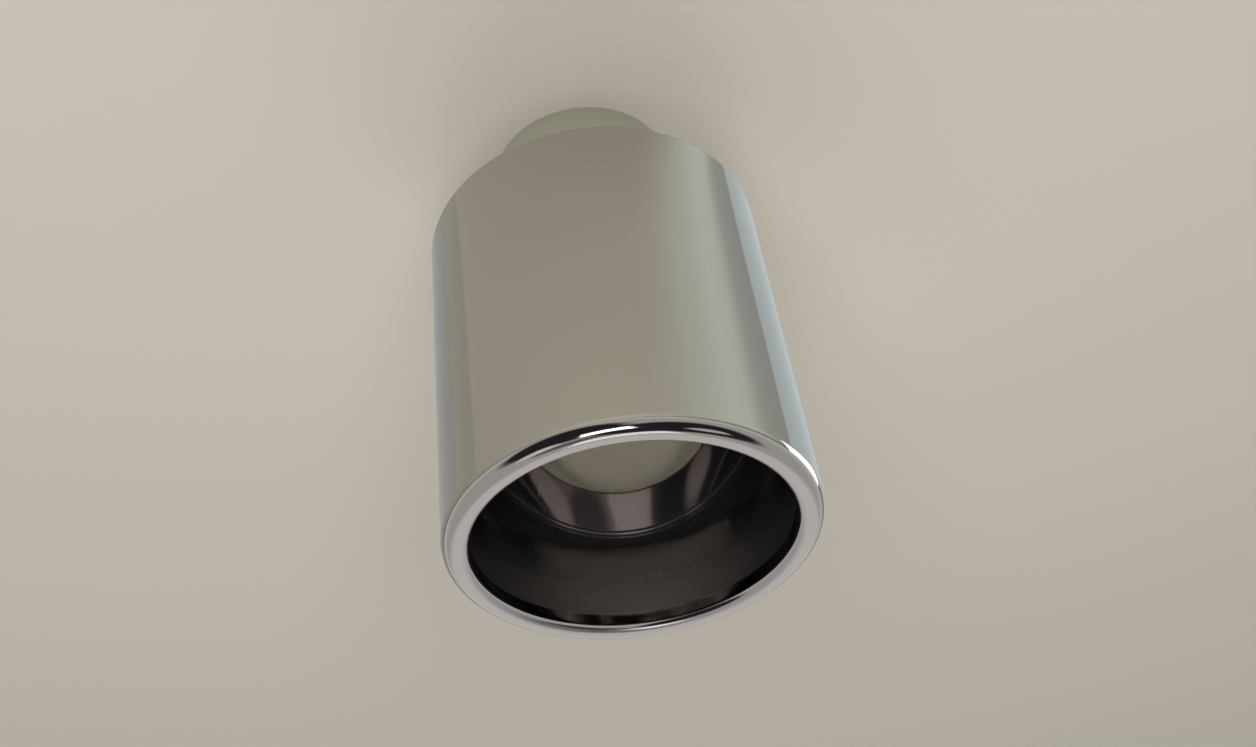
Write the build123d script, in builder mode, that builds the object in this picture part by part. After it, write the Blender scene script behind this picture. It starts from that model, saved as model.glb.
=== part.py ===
"""Exhaust tip: a polished steel shell with a rolled-in lip, closed at the back round a smaller inlet neck.

Millimetres. +Z points out of the outlet, and z = 0 is the mouth of the inlet neck, on which the tip stands.
Every bend is given by its inside radius, as on a sheet-metal drawing.
"""

import os

from build123d import *

os.makedirs("parts", exist_ok=True)

# Sheet
sheet_thickness = 1.2

# Shell
shell_diameter = 101.6
shell_length = 110.0

# Rolled lip at the outlet
lip_outer_bend = 2.8
lip_flat = 1.0
lip_inner_bend = 1.3
lip_return_straight = 3.0

# Inlet neck
neck_bore_diameter = 56.0
neck_wall = 1.0
neck_projection = 36.5
neck_stand_inside = 2.0

# Rear cap
cap_bend = 2.8
cap_skirt_straight = 5.0

# Weld beads, on the cap's bend as angles down from level
cap_bead_top_angle = 27.0
cap_bead_low_angle = 70.0
cap_bead_crown = 0.3
neck_bead_leg = 2.6
neck_bead_crown = 0.35

# Radii
shell_radius = shell_diameter / 2
shell_bore_radius = shell_radius - sheet_thickness
lip_outer_radius = lip_outer_bend + sheet_thickness
lip_inner_radius = lip_inner_bend + sheet_thickness
outlet_radius = shell_radius - lip_outer_radius - lip_flat - lip_inner_radius
cap_radius = cap_bend + sheet_thickness
neck_bore_radius = neck_bore_diameter / 2
neck_radius = neck_bore_radius + neck_wall

# Heights
z_back = neck_projection
z_top = z_back + shell_length
z_return = z_top - lip_inner_radius - lip_return_straight
z_skirt_top = z_back + cap_radius + cap_skirt_straight
z_neck_top = z_back + sheet_thickness + neck_stand_inside

# Shell: one strip of sheet, straight up the wall, over the lip and down the return flange
with BuildPart() as outer_shell:
    with BuildSketch(Plane.XZ):
        with BuildLine():
            skin = FilletPolyline(
                (shell_radius, z_back),
                (shell_radius, z_top),
                (outlet_radius, z_top),
                (outlet_radius, z_return),
                radius=[lip_outer_radius, lip_inner_radius],
            )
            offset(skin, amount=sheet_thickness, side=Side.LEFT)
        make_face()
    revolve(axis=Axis.Z)

# Rear cap: flat plate with the hole for the neck, bent up into a skirt that lies against the shell
with BuildPart() as rear_cap:
    with BuildSketch(Plane.XZ):
        with BuildLine():
            back_skin = FilletPolyline(
                (neck_radius, z_back),
                (shell_bore_radius, z_back),
                (shell_bore_radius, z_skirt_top),
                radius=cap_radius,
            )
            offset(back_skin, amount=sheet_thickness, side=Side.LEFT)
        make_face()
    revolve(axis=Axis.Z)

# Inlet neck: plain tube through the cap
with BuildPart() as inlet_neck:
    with BuildSketch():
        Circle(neck_radius)
        Circle(neck_bore_radius, mode=Mode.SUBTRACT)
    extrude(amount=z_neck_top)

# Weld between the cap and the shell: fills the groove behind the cap's bend
with BuildPart() as cap_weld:
    with BuildSketch(Plane.XZ):
        with BuildLine():
            root = CenterArc(
                (shell_bore_radius - cap_radius, z_back + cap_radius),
                cap_radius,
                start_angle=-cap_bead_low_angle,
                arc_size=cap_bead_low_angle - cap_bead_top_angle,
            )
            throat = Line(root @ 1, (shell_bore_radius, (root @ 1).Y))
            toe = Line(throat @ 1, (shell_bore_radius, z_back))
            SagittaArc(toe @ 1, root @ 0, cap_bead_crown)
        make_face()
    revolve(axis=Axis.Z)

# Weld between the cap and the neck: convex corner bead behind the cap
with BuildPart() as neck_weld:
    with BuildSketch(Plane.XZ):
        with BuildLine():
            seat = Polyline(
                (neck_radius, z_back - neck_bead_leg),
                (neck_radius, z_back),
                (neck_radius + neck_bead_leg, z_back),
            )
            SagittaArc(seat @ 1, seat @ 0, neck_bead_crown)
        make_face()
    revolve(axis=Axis.Z)

outer_shell.part.label = "outer_shell"
rear_cap.part.label = "rear_cap"
inlet_neck.part.label = "inlet_neck"
cap_weld.part.label = "cap_weld"
neck_weld.part.label = "neck_weld"

export_step(outer_shell.part, "parts/outer_shell.step")
export_step(rear_cap.part, "parts/rear_cap.step")
export_step(inlet_neck.part, "parts/inlet_neck.step")
export_step(cap_weld.part, "parts/cap_weld.step")
export_step(neck_weld.part, "parts/neck_weld.step")
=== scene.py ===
"""Scene for the exhaust tip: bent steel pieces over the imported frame, on a pale floor under soft light."""

import logging
import math
from dataclasses import dataclass
from enum import Enum
from typing import ClassVar

import bmesh
import bpy
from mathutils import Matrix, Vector


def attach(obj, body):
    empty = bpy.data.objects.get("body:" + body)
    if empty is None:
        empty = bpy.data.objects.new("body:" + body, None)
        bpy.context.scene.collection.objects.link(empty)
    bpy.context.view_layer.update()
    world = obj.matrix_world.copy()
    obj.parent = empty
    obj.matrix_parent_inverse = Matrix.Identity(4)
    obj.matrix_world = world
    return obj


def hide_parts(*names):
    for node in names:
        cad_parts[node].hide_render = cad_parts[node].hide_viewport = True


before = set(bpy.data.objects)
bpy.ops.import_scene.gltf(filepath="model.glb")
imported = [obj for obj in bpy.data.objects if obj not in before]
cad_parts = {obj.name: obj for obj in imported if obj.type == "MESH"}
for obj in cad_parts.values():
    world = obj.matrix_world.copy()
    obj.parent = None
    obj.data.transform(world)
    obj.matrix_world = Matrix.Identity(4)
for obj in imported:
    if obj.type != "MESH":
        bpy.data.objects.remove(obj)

LOG = logging.getLogger("exhaust_tip")
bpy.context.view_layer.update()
MM = 0.001

Pair = tuple[float, float]
Colour = tuple[float, float, float]
Place = tuple[float, float, float]
Socket = bpy.types.NodeSocket
Axes = bpy.types.bpy_prop_collection

# Sizes that several pieces share, in mm
SHEET = 1.2
SHELL_RADIUS = 50.8
SHELL_BORE = SHELL_RADIUS - SHEET
NECK_RADIUS = 29.0
CAP_BEND = 4.0
Z_BACK = 36.5

# Meshing
MERGE_GAP = 1e-7
EDGE_ANGLE = math.radians(50)
SHADE_ANGLE = math.radians(40)
EDGE_RUNS = 3
ROUND_PROFILE = 0.5

# Colours that the stage uses more than once
FLOOR_COLOUR = (0.6, 0.57, 0.48)
DARK = (0.028, 0.025, 0.03)


class Node(Enum):
    """CAD nodes of the tip."""

    SHELL = "outer_shell"
    CAP = "rear_cap"
    NECK = "inlet_neck"
    CAP_WELD = "cap_weld"
    NECK_WELD = "neck_weld"


class Slot(Enum):
    """Material slots of the record."""

    SHELL = "shell_steel"
    CAP = "cap_steel"
    NECK = "neck_steel"
    WELD = "weld_steel"


class Marks(Enum):
    """Direction of the polishing marks."""

    ALONG = "along the axis"
    ROUND = "round the axis"


@dataclass(frozen=True)
class Corner:
    """A corner of a section, in mm.

    Attributes:
        out: Distance from the axis.
        up: Height.
        bend: How far from the corner its rounding starts, which at a right angle is the bend's radius.
    """

    out: float
    up: float
    bend: float = 0.0


def metres(pair: Pair) -> Pair:
    """Turn two lengths in mm into metres."""
    return pair[0] * MM, pair[1] * MM


def opaque(colour: Colour) -> tuple[float, float, float, float]:
    """Give a colour full opacity."""
    return (*colour, 1.0)


def outline(corners: list[Corner], segments: int = 1, closed: bool = False) -> bmesh.types.BMesh:
    """Lay a line through the corners of a section and round its bends.

    Args:
        corners: The corners in order.
        segments: Number of runs in each bend.
        closed: Whether the last corner joins the first.

    Returns:
        The line, in the XZ plane.
    """
    mesh = bmesh.new()
    verts = [mesh.verts.new((c.out * MM, 0.0, c.up * MM)) for c in corners]
    for first, second in zip(verts, verts[1:]):
        mesh.edges.new((first, second))
    if closed:
        mesh.edges.new((verts[-1], verts[0]))
    for vert, corner in zip(verts, corners):
        if corner.bend:
            bmesh.ops.bevel(
                mesh,
                geom=[vert],
                offset=corner.bend * MM,
                affect="VERTICES",
                segments=segments,
                profile=ROUND_PROFILE,
                material=-1,
            )
    return mesh


def turn(mesh: bmesh.types.BMesh, steps: int) -> None:
    """Spin a line a full turn round the Z axis.

    Args:
        mesh: The line, which becomes the turned surface.
        steps: Divisions of the turn.
    """
    bmesh.ops.spin(
        mesh,
        geom=mesh.verts[:] + mesh.edges[:],
        cent=(0, 0, 0),
        axis=(0, 0, 1),
        angle=math.tau,
        steps=steps,
        use_merge=True,
    )
    bmesh.ops.remove_doubles(mesh, verts=mesh.verts, dist=MERGE_GAP)
    bmesh.ops.recalc_face_normals(mesh, faces=mesh.faces)


def ease(mesh: bmesh.types.BMesh, width: float) -> None:
    """Break the sharp edges of a mesh.

    Args:
        mesh: The closed mesh.
        width: Width of the rounding in mm.
    """
    inner = [edge for edge in mesh.edges if len(edge.link_faces) == 2]
    bmesh.ops.bevel(
        mesh,
        geom=[edge for edge in inner if edge.calc_face_angle() > EDGE_ANGLE],
        offset=width * MM,
        affect="EDGES",
        segments=EDGE_RUNS,
        profile=ROUND_PROFILE,
        material=-1,
    )


def settle(name: str, mesh: bmesh.types.BMesh) -> bpy.types.Mesh:
    """Turn a bmesh into mesh data.

    Args:
        name: Name of the data.
        mesh: The mesh, which is used up.

    Returns:
        The data.
    """
    data = bpy.data.meshes.new(name)
    mesh.to_mesh(data)
    mesh.free()
    return data


def put(name: str, data: bpy.types.ID) -> bpy.types.Object:
    """Make an object and link it to the scene.

    Args:
        name: Name of the object.
        data: Its mesh, light or camera.

    Returns:
        The object.
    """
    piece = bpy.data.objects.new(name, data)
    bpy.context.scene.collection.objects.link(piece)
    return piece


def as_piece(name: str, mesh: bmesh.types.BMesh, node: Node) -> bpy.types.Object:
    """Turn a finished mesh into a smooth object in the place of its CAD node.

    Args:
        name: Name of the object.
        mesh: The mesh, which is used up.
        node: The node that it stands for.

    Returns:
        The object, at the origin, with its place in its mesh.
    """
    data = settle(name + "_raw", mesh)
    data.shade_smooth()
    data.set_sharp_from_angle(angle=SHADE_ANGLE)
    piece = put(name, data)
    even = piece.modifiers.new("even_normals", "WEIGHTED_NORMAL")
    even.keep_sharp = True
    settled = bpy.data.meshes.new_from_object(piece.evaluated_get(bpy.context.evaluated_depsgraph_get()))
    piece.modifiers.clear()
    piece.data = settled
    settled.name = name
    bpy.data.meshes.remove(data)
    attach(piece, "root")
    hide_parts(node.value)
    LOG.info("%s: %d faces for %s", name, len(settled.polygons), node.value)
    return piece


class Graph:
    """Short calls on a node tree."""

    def __init__(self, tree: bpy.types.NodeTree) -> None:
        """Keep the tree."""
        self.tree = tree

    def add(self, kind: str, inputs: dict | None = None, **settings: object) -> bpy.types.Node:
        """Add a node.

        Args:
            kind: Its type.
            inputs: Values, or outputs of other nodes, for its sockets by name or number.
            settings: Its own settings.

        Returns:
            The node.
        """
        made = self.tree.nodes.new(kind)
        for name, value in settings.items():
            setattr(made, name, value)
        for socket, value in (inputs or {}).items():
            self.feed(made, socket, value)
        return made

    def feed(self, node: bpy.types.Node, socket: str | int, value: object) -> None:
        """Give a socket a value or another node's output.

        Args:
            node: The node.
            socket: Name or number of its input.
            value: The value or the output.
        """
        if isinstance(value, Socket):
            self.tree.links.new(value, node.inputs[socket])
        else:
            node.inputs[socket].default_value = value

    def spread(self, value: Socket, source: Pair, target: Pair, curve: str = "LINEAR") -> Socket:
        """Map a range of values to another, held at its ends.

        Args:
            value: The value.
            source: The range that it has.
            target: The range that it gets.
            curve: How it goes from one end to the other.

        Returns:
            The mapped value.
        """
        ends = {
            "Value": value,
            "From Min": source[0],
            "From Max": source[1],
            "To Min": target[0],
            "To Max": target[1],
        }
        return self.add("ShaderNodeMapRange", ends, interpolation_type=curve).outputs["Result"]

    def blend(self, share: Socket | float, first: object, second: object, mode: str = "MIX") -> Socket:
        """Mix two colours.

        Args:
            share: Share of the second.
            first: First colour, or an output.
            second: Second colour, or an output.
            mode: How they are mixed.

        Returns:
            The mixed colour.
        """
        # The colour sockets go by number, because other kinds of socket have the same names
        inputs = {0: share, 6: first, 7: second}
        return self.add("ShaderNodeMix", inputs, data_type="RGBA", blend_type=mode).outputs[2]

    def sums(self, operation: str, first: object, second: object) -> Socket:
        """Do a sum with two values.

        Args:
            operation: Name of the sum.
            first: First value, or an output.
            second: Second value, or an output.

        Returns:
            The result.
        """
        return self.add("ShaderNodeMath", {0: first, 1: second}, operation=operation).outputs[0]

    def noise(self, place: Socket, scale: float, detail: float) -> Socket:
        """Lay a noise.

        Args:
            place: The coordinates that it follows.
            scale: Its scale.
            detail: How many finer noises it has.

        Returns:
            The noise, from 0 to 1.
        """
        inputs = {"Vector": place, "Scale": scale, "Detail": detail}
        return self.add("ShaderNodeTexNoise", inputs).outputs["Fac"]

    def from_axis(self, axes: Axes) -> Socket:
        """Measure the distance from the Z axis.

        Args:
            axes: The coordinates, axis by axis.

        Returns:
            The distance.
        """
        flat = self.add("ShaderNodeCombineXYZ", {"X": axes["X"], "Y": axes["Y"]}).outputs["Vector"]
        return self.add("ShaderNodeVectorMath", {0: flat}, operation="LENGTH").outputs["Value"]


@dataclass(frozen=True)
class SteelFinish:
    """A steel surface with polishing marks, faint scratches and handling haze.

    Attributes:
        name: Name of the material.
        colour: Reflected colour.
        roughness: Lowest and highest roughness of the marks.
        marks: Direction of the marks.
        grain: Marks per metre.
        depth: Strength of the marks in the bump.
        scratch: Roughness that the scratches and the handling haze add.
        haze: Heights in mm where the polish starts to soften and where it is softest, or none.
        soft: Roughness that this adds.
        painted_shade_and_glow: Heights in mm between which the colour darkens to a band of painted shade,
            and between which it brightens to a painted glow towards the lip, or none.
        film: Share of the surface that a thin dull film covers.
        heat: Distances from the axis in mm where the tint of the weld's heat starts and ends, or none.
        straw: Colour of that tint.
    """

    # The marks: their noise, how it is drawn out along the axis or round it, and their bump in metres
    MARK_DETAIL: ClassVar[float] = 3.0
    MARK_RANGE: ClassVar[Pair] = (0.3, 0.7)
    MARK_STRETCH: ClassVar[Place] = (1.0, 1.0, 0.012)
    MARK_DRIFT: ClassVar[float] = 0.02
    MARK_BUMP: ClassVar[float] = 0.0002

    # The handling haze: its noise, the share of the scratches' roughness that it gets, and its tones
    CLOUD_SCALE: ClassVar[float] = 24.0
    CLOUD_DETAIL: ClassVar[float] = 3.0
    CLOUD_RANGE: ClassVar[Pair] = (0.5, 0.8)
    CLOUD_SHARE: ClassVar[Pair] = (0.0, 0.4)
    CLOUD_TONES: ClassVar[Pair] = (0.97, 1.03)

    # The scratches: a noise turned askew and drawn out, of which only the peaks are kept
    NICK_TURN: ClassVar[Place] = (0.5, 0.9, 0.3)
    NICK_STRETCH: ClassVar[Place] = (1.0, 1.0, 0.03)
    NICK_SCALE: ClassVar[float] = 900.0
    NICK_DETAIL: ClassVar[float] = 1.0
    NICK_RANGE: ClassVar[Pair] = (0.7, 0.76)

    # The heat's tint: its share where it starts and ends, and how uneven the haze's noise makes it
    HEAT_SHARE: ClassVar[Pair] = (0.7, 0.0)
    HEAT_NOISE: ClassVar[Pair] = (0.3, 0.7)
    HEAT_PATCHES: ClassVar[Pair] = (0.5, 1.0)

    # The painted shade and glow: what the colour is multiplied by in the band of painted shade, and where it
    # brightens to the painted glow
    PAINTED_SHADE: ClassVar[Pair] = (1.0, 0.5)
    PAINTED_GLOW: ClassVar[Pair] = (1.0, 2.5)

    name: str
    colour: Colour
    roughness: Pair
    marks: Marks = Marks.ALONG
    grain: float = 2600.0
    depth: float = 0.02
    scratch: float = 0.1
    haze: Pair | None = None
    soft: float = 0.2
    painted_shade_and_glow: tuple[Pair, Pair] | None = None
    film: float = 0.0
    heat: Pair | None = None
    straw: Colour = (0.5, 0.4, 0.25)

    def material(self) -> bpy.types.Material:
        """Build the node material.

        Returns:
            The material.
        """
        made = bpy.data.materials.new(self.name)
        made.use_nodes = True
        graph = Graph(made.node_tree)
        shader = made.node_tree.nodes["Principled BSDF"]
        graph.feed(shader, "Metallic", 1.0 - self.film)
        place = graph.add("ShaderNodeTexCoord").outputs["Object"]
        axes = graph.add("ShaderNodeSeparateXYZ", {"Vector": place}).outputs
        lines = self.lines(graph, place, axes)
        cloud = graph.noise(place, self.CLOUD_SCALE, self.CLOUD_DETAIL)
        nicks = self.scratches(graph, place)
        sheen = graph.spread(lines, self.MARK_RANGE, self.roughness)
        worn = graph.sums("ADD", graph.spread(cloud, self.CLOUD_RANGE, self.CLOUD_SHARE), nicks)
        rough = graph.sums("ADD", sheen, graph.sums("MULTIPLY", worn, self.scratch))
        if self.haze:
            softened = graph.spread(axes["Z"], metres(self.haze), (0.0, self.soft))
            rough = graph.sums("ADD", rough, softened)
        graph.feed(shader, "Roughness", rough)
        height = graph.sums("SUBTRACT", lines, nicks)
        relief = {"Strength": self.depth, "Distance": self.MARK_BUMP, "Height": height}
        graph.feed(shader, "Normal", graph.add("ShaderNodeBump", relief).outputs["Normal"])
        graph.feed(shader, "Base Color", self.tone(graph, axes, cloud))
        return made

    def lines(self, graph: Graph, place: Socket, axes: Axes) -> Socket:
        """Draw the polishing marks.

        Args:
            graph: The material's graph.
            place: The surface's coordinates.
            axes: The same, axis by axis.

        Returns:
            The marks' height, from 0 to 1.
        """
        if self.marks is Marks.ALONG:
            lay = graph.add("ShaderNodeMapping", {"Vector": place, "Scale": self.MARK_STRETCH})
        else:
            out = graph.from_axis(axes)
            drift = graph.sums("MULTIPLY", axes["X"], self.MARK_DRIFT)
            lay = graph.add("ShaderNodeCombineXYZ", {"X": out, "Y": drift, "Z": axes["Z"]})
        return graph.noise(lay.outputs["Vector"], self.grain, self.MARK_DETAIL)

    def scratches(self, graph: Graph, place: Socket) -> Socket:
        """Draw a few fine scratches across the marks.

        Args:
            graph: The material's graph.
            place: The surface's coordinates.

        Returns:
            Where the scratches are, from 0 to 1.
        """
        turned = {"Vector": place, "Rotation": self.NICK_TURN, "Scale": self.NICK_STRETCH}
        lay = graph.add("ShaderNodeMapping", turned).outputs["Vector"]
        peaks = graph.noise(lay, self.NICK_SCALE, self.NICK_DETAIL)
        return graph.spread(peaks, self.NICK_RANGE, (0.0, 1.0))

    def tone(self, graph: Graph, axes: Axes, cloud: Socket) -> Socket:
        """Mix the colour.

        Args:
            graph: The material's graph.
            axes: The surface's coordinates, axis by axis.
            cloud: The noise of the handling haze.

        Returns:
            The colour.
        """
        low, high = self.CLOUD_TONES
        dim = (*[c * low for c in self.colour], 1.0)
        bright = (*[min(1.0, c * high) for c in self.colour], 1.0)
        colour = graph.blend(cloud, dim, bright)
        if self.heat:
            tint = graph.spread(graph.from_axis(axes), metres(self.heat), self.HEAT_SHARE)
            patches = graph.spread(cloud, self.HEAT_NOISE, self.HEAT_PATCHES)
            colour = graph.blend(graph.sums("MULTIPLY", tint, patches), colour, opaque(self.straw))
        # Painted shade and glow: the colour darkens to half in a band of the bore, then brightens above it
        # towards the lip
        if self.painted_shade_and_glow:
            dull, clear = self.painted_shade_and_glow
            painted_shade_factor = graph.spread(axes["Z"], metres(dull), self.PAINTED_SHADE)
            painted_glow_factor = graph.spread(axes["Z"], metres(clear), self.PAINTED_GLOW)
            colour = graph.blend(1.0, colour, graph.sums("MULTIPLY", painted_shade_factor, painted_glow_factor), "MULTIPLY")
        return colour


@dataclass(frozen=True)
class FloorFinish:
    """The pale floor, which has no gloss."""

    colour: Colour = FLOOR_COLOUR
    roughness: float = 0.9
    gloss: float = 0.0

    def material(self) -> bpy.types.Material:
        """Build the floor's material.

        Returns:
            The material.
        """
        made = bpy.data.materials.new("floor")
        made.use_nodes = True
        shader = made.node_tree.nodes["Principled BSDF"]
        shader.inputs["Base Color"].default_value = opaque(self.colour)
        shader.inputs["Roughness"].default_value = self.roughness
        shader.inputs["Specular IOR Level"].default_value = self.gloss
        return made


class Piece:
    """A piece of the tip with one finish all over."""

    def dress(self, piece: bpy.types.Object, finish: SteelFinish) -> None:
        """Give the piece its finish."""
        piece.data.materials.append(finish.material())


@dataclass
class Shell:
    """Outer shell: a strip of sheet, up the wall, over the lip and down the return flange. Sizes in mm.

    Attributes:
        radius: Radius of the outside.
        wall: Thickness of the sheet.
        z_back: Height of the back.
        length: Length from the back to the lip.
        lip_outer: Outside radius of the lip's outer bend.
        lip_flat: Width of the lip's flat.
        lip_inner: Outside radius of the lip's inner bend.
        flange: Length of the return flange below its bend.
        edge: Rounding of the edges.
        runs: Number of runs in each bend.
        steps: Divisions of the turn.
    """

    # Share of a face's normal that has to point at the axis for the face to count as bore
    INWARD: ClassVar[float] = 0.2

    radius: float = SHELL_RADIUS
    wall: float = SHEET
    z_back: float = Z_BACK
    length: float = 110.0
    lip_outer: float = 4.0
    lip_flat: float = 1.0
    lip_inner: float = 2.5
    flange: float = 3.0
    edge: float = 0.2
    runs: int = 16
    steps: int = 256

    @property
    def outlet(self) -> float:
        """Radius of the opening."""
        return self.radius - self.lip_outer - self.lip_flat - self.lip_inner

    def build(self) -> bpy.types.Object:
        """Bend the strip and close it to a ring.

        Returns:
            The shell.
        """
        z_top = self.z_back + self.length
        skin = [
            Corner(self.radius, self.z_back),
            Corner(self.radius, z_top, self.lip_outer),
            Corner(self.outlet, z_top, self.lip_inner),
            Corner(self.outlet, z_top - self.lip_inner - self.flange),
        ]
        mesh = outline(skin, self.runs)
        turn(mesh, self.steps)
        bmesh.ops.solidify(mesh, geom=mesh.faces[:], thickness=self.wall * MM)
        ease(mesh, self.edge)
        return as_piece("shell", mesh, Node.SHELL)

    def dress(self, piece: bpy.types.Object, outside: SteelFinish, inside: SteelFinish) -> None:
        """Give the shell its finishes.

        Args:
            piece: The shell.
            outside: Finish of the outside and the lip.
            inside: Finish of the bore.
        """
        piece.data.materials.append(outside.material())
        piece.data.materials.append(inside.material())
        for face in piece.data.polygons:
            middle = face.center
            out = math.hypot(middle.x, middle.y)
            inward = face.normal.x * middle.x + face.normal.y * middle.y < -self.INWARD * out
            if inward and out > (self.outlet + self.wall / 2) * MM:
                face.material_index = 1


@dataclass
class RearCap(Piece):
    """End piece with a hole for the neck, flat behind and a shallow funnel inside. Sizes in mm.

    Attributes:
        hole: Radius of the hole.
        skirt: Radius of the outside, which lies against the shell.
        rim: Width of the rounded rim at the funnel's edge.
        rim_round: Rounding of the rim on both sides.
        step: How far the funnel's edge lies below the rim.
        wall: Thickness at the hole.
        bend: Radius of the bend behind.
        z_back: Height of the back.
        straight: Length of the outside from the bend to the rim.
        edge: Rounding of the edges.
        runs: Number of runs in each bend.
        steps: Divisions of the turn.
    """

    hole: float = NECK_RADIUS
    skirt: float = SHELL_BORE
    rim: float = 2.2
    rim_round: float = 1.05
    step: float = 1.3
    wall: float = SHEET
    bend: float = CAP_BEND
    z_back: float = Z_BACK
    straight: float = 5.0
    edge: float = 0.15
    runs: int = 12
    steps: int = 192

    def build(self) -> bpy.types.Object:
        """Turn the cap with its funnel and rim.

        Returns:
            The cap.
        """
        inside = self.skirt - self.rim
        z_rim = self.z_back + self.bend + self.straight
        section = [
            Corner(self.hole, self.z_back),
            Corner(self.skirt, self.z_back, self.bend),
            Corner(self.skirt, z_rim, self.rim_round),
            Corner(inside, z_rim, self.rim_round),
            Corner(inside, z_rim - self.step),
            Corner(self.hole, self.z_back + self.wall),
        ]
        mesh = outline(section, self.runs, closed=True)
        turn(mesh, self.steps)
        ease(mesh, self.edge)
        return as_piece("cap", mesh, Node.CAP)


@dataclass
class InletNeck(Piece):
    """Plain tube through the cap. Sizes in mm.

    Attributes:
        radius: Radius of the outside.
        wall: Thickness of the tube.
        z_cap: Height of the cap's inside at its hole.
        stand: How far the tube stands out over it.
        edge: Rounding of the edges.
        steps: Divisions of the turn.
    """

    radius: float = NECK_RADIUS
    wall: float = 1.0
    z_cap: float = Z_BACK + SHEET
    stand: float = 2.0
    edge: float = 0.2
    steps: int = 192

    def build(self) -> bpy.types.Object:
        """Turn the tube.

        Returns:
            The neck.
        """
        mesh = outline([Corner(self.radius, 0.0), Corner(self.radius, self.z_cap + self.stand)])
        turn(mesh, self.steps)
        bmesh.ops.solidify(mesh, geom=mesh.faces[:], thickness=self.wall * MM)
        ease(mesh, self.edge)
        return as_piece("neck", mesh, Node.NECK)


@dataclass
class Bead(Piece):
    """A weld bead with scales. Sizes in mm.

    Attributes:
        crown: How far the bead stands over the line between its toes.
        scales: Number of scales in the full turn.
        depth: Height of a scale.
        runs: Number of runs in each bend.
        steps: Divisions of the turn.
    """

    # How much of the way to the next corner a bend takes
    BEND_SHARE: ClassVar[float] = 0.96
    # Share of the crown under which there are no scales
    FOOT: ClassVar[float] = 0.02
    # How far a scale's toes run ahead of its middle, in scales
    BOW: ClassVar[float] = 0.8

    crown: float
    scales: int
    depth: float
    runs: int
    steps: int

    def face(self, start: Pair, end: Pair) -> tuple[Pair, Pair, float]:
        """Describe the line between the bead's toes.

        Args:
            start: First toe.
            end: Last toe.

        Returns:
            Its middle, the direction in which the bead stands over it, and half its length.
        """
        along = Vector(end) - Vector(start)
        middle = (Vector(start) + Vector(end)) / 2
        out = Vector((along.y, -along.x)).normalized()
        return tuple(middle), tuple(out), along.length / 2

    def peak(self, start: Pair, end: Pair) -> Corner:
        """Give the corner that is rounded to the crown.

        Args:
            start: First toe.
            end: Last toe.

        Returns:
            The corner.
        """
        middle, out, half = self.face(start, end)
        reach = 2 * self.crown
        bend = self.BEND_SHARE * math.hypot(half, reach)
        return Corner(middle[0] + out[0] * reach, middle[1] + out[1] * reach, bend)

    def scale(self, mesh: bmesh.types.BMesh, start: Pair, end: Pair) -> None:
        """Raise the scales on the crown.

        Args:
            mesh: The turned bead.
            start: First toe.
            end: Last toe.
        """
        middle, out, half = self.face(start, end)
        for vert in mesh.verts:
            around = math.atan2(vert.co.y, vert.co.x)
            r = math.hypot(vert.co.x, vert.co.y) / MM - middle[0]
            z = vert.co.z / MM - middle[1]
            over = (r * out[0] + z * out[1]) / self.crown
            if over < self.FOOT:
                continue
            across = (r * out[1] - z * out[0]) / half
            turn_share = (around / math.tau * self.scales + self.BOW * across * across) % 1.0
            rise = self.depth * over * (turn_share - 0.5) * MM
            vert.co.x += rise * out[0] * math.cos(around)
            vert.co.y += rise * out[0] * math.sin(around)
            vert.co.z += rise * out[1]


@dataclass
class CapWeld(Bead):
    """Bead in the groove between the cap's bend and the shell. Sizes in mm, angles in degrees.

    Attributes:
        shell_bore: Radius of the shell's inside.
        bend: Radius of the cap's bend.
        z_back: Height of the back.
        top_angle: Where the bead starts on the bend, down from level.
        low_angle: Where it ends.
    """

    crown: float = 0.3
    scales: int = 180
    depth: float = 0.16
    runs: int = 8
    steps: int = 1080
    shell_bore: float = SHELL_BORE
    bend: float = CAP_BEND
    z_back: float = Z_BACK
    top_angle: float = 27.0
    low_angle: float = 70.0

    def build(self) -> bpy.types.Object:
        """Fill the groove.

        Returns:
            The bead.
        """
        low = self.on_bend(self.low_angle, 1.0)
        high = self.on_bend(self.top_angle, 1.0)
        half = math.radians((self.low_angle - self.top_angle) / 2)
        root = self.on_bend((self.low_angle + self.top_angle) / 2, 1 / math.cos(half))
        toe = (self.shell_bore, self.z_back)
        section = [
            Corner(*low),
            Corner(*root, self.BEND_SHARE * self.bend * math.tan(half)),
            Corner(*high),
            Corner(self.shell_bore, high[1]),
            Corner(*toe),
            self.peak(toe, low),
        ]
        mesh = outline(section, self.runs, closed=True)
        turn(mesh, self.steps)
        self.scale(mesh, toe, low)
        return as_piece("cap_bead", mesh, Node.CAP_WELD)

    def on_bend(self, angle: float, reach: float) -> Pair:
        """Give a point by the cap's bend.

        Args:
            angle: Degrees down from level.
            reach: Distance from the bend's centre, in bend radii.

        Returns:
            Its distance from the axis and its height.
        """
        turned = math.radians(angle)
        out = self.shell_bore - self.bend + reach * self.bend * math.cos(turned)
        return out, self.z_back + self.bend - reach * self.bend * math.sin(turned)


@dataclass
class NeckWeld(Bead):
    """Corner bead between the cap and the neck. Sizes in mm.

    Attributes:
        neck: Radius of the neck's outside.
        leg: Length of each of the bead's legs.
        z_back: Height of the back.
    """

    crown: float = 0.35
    scales: int = 108
    depth: float = 0.2
    runs: int = 10
    steps: int = 864
    neck: float = NECK_RADIUS
    leg: float = 2.6
    z_back: float = Z_BACK

    def build(self) -> bpy.types.Object:
        """Lay the bead in the corner.

        Returns:
            The bead.
        """
        upper = (self.neck + self.leg, self.z_back)
        lower = (self.neck, self.z_back - self.leg)
        root = Corner(self.neck, self.z_back)
        section = [Corner(*lower), root, Corner(*upper), self.peak(upper, lower)]
        mesh = outline(section, self.runs, closed=True)
        turn(mesh, self.steps)
        self.scale(mesh, upper, lower)
        return as_piece("neck_bead", mesh, Node.NECK_WELD)


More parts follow.
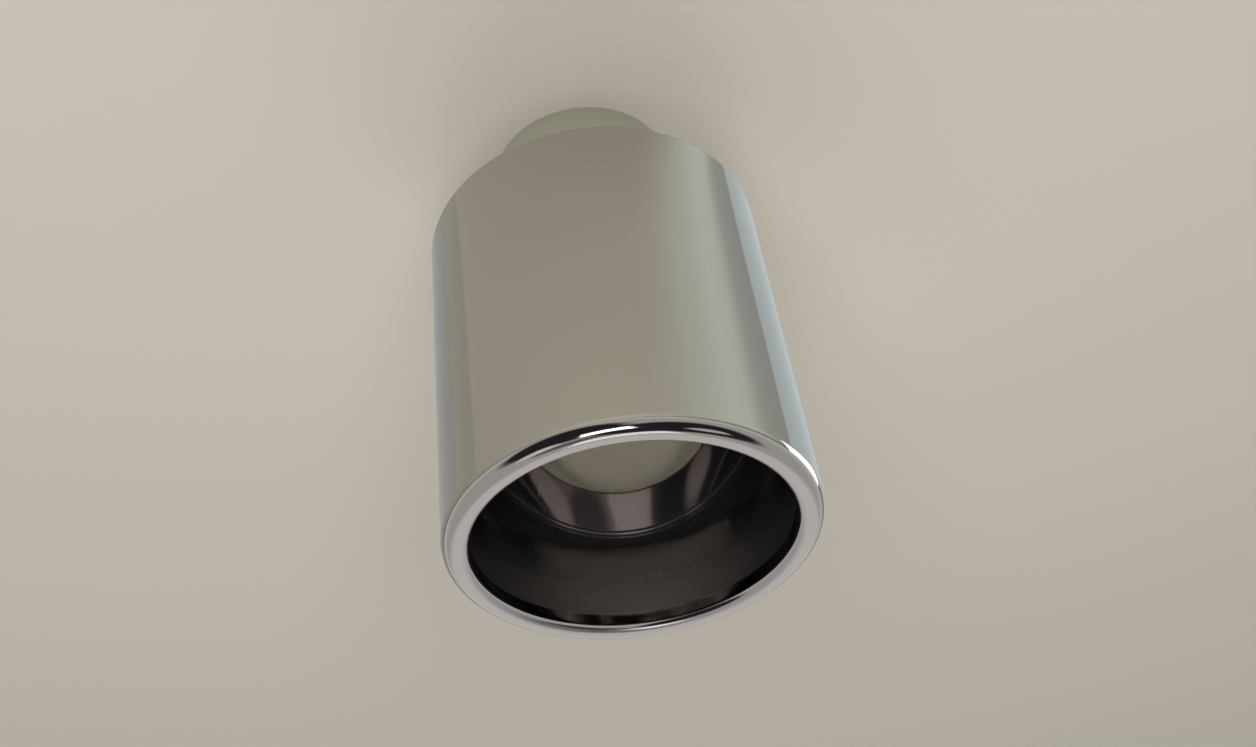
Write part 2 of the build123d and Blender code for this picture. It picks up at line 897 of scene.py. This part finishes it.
@dataclass(frozen=True)
class SkyPatch:
    """A round part of the sky with a colour of its own.

    Attributes:
        colour: Its colour.
        towards: Direction of its middle.
        edge: Cosines of the angles from it where the colour begins and is full.
    """

    colour: Colour
    towards: Place
    edge: Pair


@dataclass(frozen=True)
class Sky:
    """Soft light from all round, brighter at the far side, with light and dark parts overhead.

    Attributes:
        low: Colour at the horizon.
        high: Colour above it.
        rise: Sines of the heights between which the one turns into the other.
        patches: The light and the dark parts, in the order in which they are laid.
    """

    low: Colour = (0.78, 0.76, 0.74)
    high: Colour = (0.57, 0.55, 0.56)
    rise: Pair = (0.0, 0.3)
    patches: tuple[SkyPatch, ...] = (
        SkyPatch((0.85, 0.82, 0.82), (0.0, 0.9, 0.42), (0.8, 0.95)),
        SkyPatch(DARK, (0.47, -0.671, 0.574), (0.777, 0.891)),
        SkyPatch(DARK, (-0.384, -0.269, 0.883), (0.788, 0.883)),
        SkyPatch((0.95, 0.9, 0.88), (0.48, -0.15, 0.864), (0.981, 0.993)),
        SkyPatch((0.18, 0.16, 0.16), (0.25, 0.07, 0.966), (0.982, 0.99)),
        SkyPatch((0.7, 0.67, 0.66), (-0.492, -0.087, 0.866), (0.985, 0.996)),
    )

    def build(self) -> None:
        """Make the world."""
        world = bpy.data.worlds.new("sky")
        bpy.context.scene.world = world
        world.use_nodes = True
        graph = Graph(world.node_tree)
        place = graph.add("ShaderNodeTexCoord").outputs["Generated"]
        up = graph.add("ShaderNodeSeparateXYZ", {"Vector": place}).outputs["Z"]
        raised = graph.spread(up, self.rise, (0.0, 1.0))
        colour = graph.blend(raised, opaque(self.low), opaque(self.high))
        for patch in self.patches:
            pair = {0: place, 1: patch.towards}
            near = graph.add("ShaderNodeVectorMath", pair, operation="DOT_PRODUCT").outputs["Value"]
            share = graph.spread(near, patch.edge, (0.0, 1.0), "SMOOTHSTEP")
            colour = graph.blend(share, colour, opaque(patch.colour))
        graph.feed(world.node_tree.nodes["Background"], "Color", colour)


@dataclass(frozen=True)
class SoftLamp:
    """A soft rectangular lamp aimed at the tip. Metres and watts.

    Attributes:
        name: Name of the lamp.
        place: Its place.
        size: Its width and depth.
        power: Its power.
        mirrored: Whether the steel shows it.
        lights_floor: Whether it also lights the floor.
    """

    # Point in the tip that every lamp faces
    AIM: ClassVar[Place] = (0.0, 0.0, 0.1)

    name: str
    place: Place
    size: Pair
    power: float
    mirrored: bool = True
    lights_floor: bool = True

    def build(self) -> None:
        """Hang the lamp."""
        light = bpy.data.lights.new(self.name, "AREA")
        light.shape = "RECTANGLE"
        light.size, light.size_y = self.size
        light.energy = self.power
        piece = put(self.name, light)
        piece.location = self.place
        ahead = Vector(self.AIM) - Vector(self.place)
        piece.rotation_euler = ahead.to_track_quat("-Z", "Y").to_euler()
        piece.visible_camera = False
        piece.visible_glossy = self.mirrored
        piece.visible_diffuse = self.lights_floor


@dataclass(frozen=True)
class BoreSpot:
    """A narrow spot straight above the tip that lights the floor inside the neck. Metres and watts.

    Attributes:
        height: Height over the floor.
        reach: Radius of its light on the floor.
        power: Its power.
        blend: How soft the edge of its light is.
        bulb: Radius of the bulb.
    """

    height: float = 1.6
    reach: float = 0.03
    power: float = 105.0
    blend: float = 0.1
    bulb: float = 0.01

    def build(self) -> None:
        """Hang the spot."""
        light = bpy.data.lights.new("bore_spot", "SPOT")
        light.spot_size = 2 * math.atan(self.reach / self.height)
        light.spot_blend = self.blend
        light.shadow_soft_size = self.bulb
        light.energy = self.power
        piece = put("bore_spot", light)
        piece.location = (0.0, 0.0, self.height)
        piece.visible_glossy = False


@dataclass(frozen=True)
class Stop:
    """A colour in a fan.

    Attributes:
        angle: Its direction from the hub in degrees, counted from the camera's side towards minus X.
        colour: The colour.
        strength: How much it covers of what is under it.
    """

    angle: float
    colour: Colour
    strength: float = 1.0


@dataclass(frozen=True)
class FloorMat:
    """A fan of colour on the floor beside the tip that only shows in the steel. Metres.

    Attributes:
        name: Name of the mat.
        hub: Where the fan's edges meet.
        stops: Colours across the fan, in order.
        reach: Inner and outer distance from the hub.
        steps: Divisions of the fan.
    """

    name: str
    hub: Place
    stops: tuple[Stop, ...]
    reach: Pair = (0.012, 0.6)
    steps: int = 64

    def share(self, angle: float) -> float:
        """Give a direction's place across the fan, from 0 to 1.

        Args:
            angle: The direction, counted as a stop's is.

        Returns:
            The place.
        """
        start = self.stops[0].angle
        return (angle - start) / (self.stops[-1].angle - start)

    def build(self) -> None:
        """Spread the fan and colour it."""
        mesh = bmesh.new()
        hub = Vector(self.hub)
        begin = math.radians(self.stops[0].angle)
        sweep = math.radians(self.stops[0].angle - self.stops[-1].angle)
        along = Vector((-math.sin(begin), -math.cos(begin), 0.0))
        inner, outer = [mesh.verts.new(hub + along * reach) for reach in self.reach]
        line = [inner, outer, mesh.edges.new((inner, outer))]
        bmesh.ops.spin(mesh, geom=line, cent=hub, axis=(0, 0, 1), angle=sweep, steps=self.steps)
        uv = mesh.loops.layers.uv.new("along")
        for face in mesh.faces:
            for loop in face.loops:
                reached = loop.vert.co - hub
                angle = math.degrees(math.atan2(-reached.x, -reached.y))
                loop[uv].uv = (self.share(angle), 0.5)
        data = settle(self.name, mesh)
        piece = put(self.name, data)
        data.materials.append(self.material())
        piece.visible_camera = False
        piece.visible_diffuse = False
        piece.visible_shadow = False

    def material(self) -> bpy.types.Material:
        """Build the mat's even glow.

        Returns:
            The material.
        """
        made = bpy.data.materials.new(self.name)
        made.use_nodes = True
        made.node_tree.nodes.clear()
        graph = Graph(made.node_tree)
        along = graph.add("ShaderNodeUVMap", uv_map="along").outputs["UV"]
        across = graph.add("ShaderNodeSeparateXYZ", {"Vector": along}).outputs["X"]
        ramp = graph.add("ShaderNodeValToRGB", {"Fac": across})
        elements = ramp.color_ramp.elements
        elements.remove(elements[1])
        for number, stop in enumerate(self.stops):
            share = self.share(stop.angle)
            element = elements.new(share) if number else elements[0]
            element.position = share
            element.color = (*stop.colour, stop.strength)
        glow = graph.add("ShaderNodeEmission", {"Color": ramp.outputs["Color"]}).outputs["Emission"]
        clear = graph.add("ShaderNodeBsdfTransparent").outputs["BSDF"]
        mixed = graph.add("ShaderNodeMixShader", {0: ramp.outputs["Alpha"], 1: clear, 2: glow})
        graph.add("ShaderNodeOutputMaterial", {"Surface": mixed.outputs["Shader"]})
        return made


@dataclass(frozen=True)
class Studio:
    """Floor, sky, lamps and mats.

    Attributes:
        floor_half: Half the floor's width in metres.
        lamps: The soft lamps.
        mats: The fans of colour on the floor.
    """

    floor_half: float = 3.0
    lamps: tuple[SoftLamp, ...] = (
        SoftLamp("key_lamp", (0.13, -0.79, 1.56), (0.6, 0.45), 3.4),
        SoftLamp("far_lamp", (-0.02, 0.42, 1.33), (0.42, 0.4), 0.48),
        SoftLamp("far_fill", (0.1, 0.55, 1.3), (1.2, 0.55), 2.0, mirrored=False),
        SoftLamp("side_lamp", (-0.24, 0.073, 0.075), (0.13, 0.11), 0.095, lights_floor=False),
        SoftLamp("front_fill", (0.0, -1.1, 0.8), (1.0, 0.6), 12.0, mirrored=False),
    )
    mats: tuple[FloorMat, ...] = (
        FloorMat(
            "right_mat",
            (-0.042, -0.027, 0.001),
            (
                Stop(0.0, FLOOR_COLOUR, 0.0),
                Stop(35.0, (0.66, 0.68, 0.6)),
                Stop(66.0, (0.78, 0.83, 0.77)),
                Stop(80.0, (0.74, 0.79, 0.73)),
                Stop(94.0, (0.5, 0.53, 0.5)),
                Stop(104.0, (0.45, 0.48, 0.45)),
                Stop(116.0, (0.41, 0.43, 0.4)),
                Stop(118.0, (0.6, 0.68, 0.68)),
                Stop(150.0, (0.6, 0.69, 0.72)),
                Stop(168.0, (0.5, 0.58, 0.62)),
                Stop(180.0, FLOOR_COLOUR, 0.0),
            ),
        ),
        FloorMat(
            "left_mat",
            (0.042, -0.027, 0.001),
            (
                Stop(-95.0, (0.46, 0.44, 0.38), 0.0),
                Stop(-96.0, (0.46, 0.44, 0.38)),
                Stop(-118.0, (0.47, 0.455, 0.395)),
                Stop(-122.0, (0.43, 0.43, 0.41)),
                Stop(-150.0, (0.43, 0.43, 0.42)),
                Stop(-168.0, (0.4, 0.42, 0.46)),
                Stop(-180.0, FLOOR_COLOUR, 0.0),
            ),
        ),
    )

    def build(self) -> None:
        """Make the floor, the sky, the lights and the mats."""
        self.floor()
        Sky().build()
        for lamp in self.lamps:
            lamp.build()
        BoreSpot().build()
        for mat in self.mats:
            mat.build()

    def floor(self) -> None:
        """Lay the floor."""
        mesh = bmesh.new()
        bmesh.ops.create_grid(mesh, x_segments=1, y_segments=1, size=self.floor_half)
        data = settle("floor", mesh)
        piece = put("floor", data)
        data.materials.append(FloorFinish().material())


@dataclass(frozen=True)
class PhotoCamera:
    """Camera at the photograph's place.

    Attributes:
        location: Its place in metres.
        rotation: Its turn in degrees.
        sensor: Width of the sensor in mm.
        lens: Focal length in mm.
        shift: Shift of the picture across and up, in picture widths.
        near: Distance in metres from which it sees.
    """

    location: Place = (0.0, -0.30468, 0.34303)
    rotation: Place = (-47.8924, -4.6476, 173.0208)
    sensor: float = 36.0
    lens: float = 39.1536
    shift: Pair = (0.05815, -0.03041)
    near: float = 0.01

    def build(self) -> None:
        """Make the camera and use it."""
        data = bpy.data.cameras.new("camera")
        data.sensor_width = self.sensor
        data.lens = self.lens
        data.shift_x, data.shift_y = self.shift
        data.clip_start = self.near
        piece = put("camera", data)
        piece.location = self.location
        piece.rotation_euler = [math.radians(angle) for angle in self.rotation]
        bpy.context.scene.camera = piece


def main() -> None:
    """Build and dress the tip, the studio and the camera."""
    logging.basicConfig(level=logging.INFO)
    polished = SteelFinish("polished_steel", (0.47, 0.455, 0.425), (0.03, 0.06))
    bore = SteelFinish(
        "bore_steel",
        (0.37, 0.345, 0.345),
        (0.004, 0.012),
        scratch=0.02,
        haze=(112.5, 128.0),
        soft=0.3,
        # Painted shade in a band of the bore below the lip, and a painted glow brighter towards the lip
        painted_shade_and_glow=((111.0, 114.5), (117.0, 135.0)),
        film=0.04,
    )
    turned = SteelFinish(
        "turned_steel",
        (0.55, 0.52, 0.5),
        (0.06, 0.1),
        Marks.ROUND,
        scratch=0.06,
        heat=(31.0, 35.0),
    )
    tube = SteelFinish("tube_steel", (0.66, 0.665, 0.61), (0.12, 0.18))
    weld = SteelFinish("bead_steel", (0.5, 0.48, 0.45), (0.18, 0.3), Marks.ROUND, depth=0.1)

    shell = Shell()
    shell.dress(shell.build(), polished, bore)
    cap = RearCap()
    cap.dress(cap.build(), turned)
    neck = InletNeck()
    neck.dress(neck.build(), tube)
    for bead in (CapWeld(), NeckWeld()):
        bead.dress(bead.build(), weld)

    Studio().build()
    PhotoCamera().build()
    bpy.context.scene.view_settings.view_transform = "Standard"


if __name__ == "__main__":
    main()
